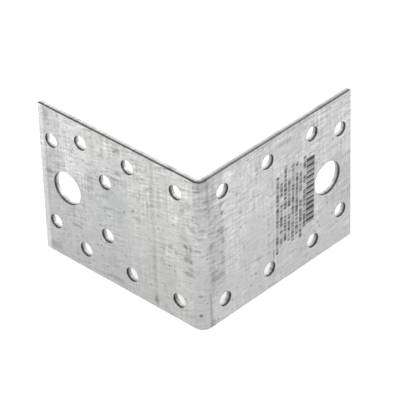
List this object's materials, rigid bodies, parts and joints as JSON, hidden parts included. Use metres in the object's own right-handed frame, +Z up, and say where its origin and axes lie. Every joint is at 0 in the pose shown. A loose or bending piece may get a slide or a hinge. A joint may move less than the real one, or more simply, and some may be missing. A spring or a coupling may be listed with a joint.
{
  "type": "corner brace bracket",
  "caption": "Flat steel strip folded once to a right angle, with rows of nail holes and a larger bolt hole near each free end.",
  "frame": {"origin": "under the middle of the square that the two legs span, on the plane of the lower cut edges", "axes": "+Z up along the fold; the right leg runs along +X and the left leg along +Y from the fold; the outside faces look towards -Y and -X"},
  "size_m": [0.068, 0.068, 0.0545],
  "materials": {
    "galvanised_steel": "matt zinc coating with faint rolling lines, small dark specks and fine cracks along the fold"
  },
  "bodies": {
    "root": {"bracket": "galvanised_steel"}
  },
  "joints": []
}
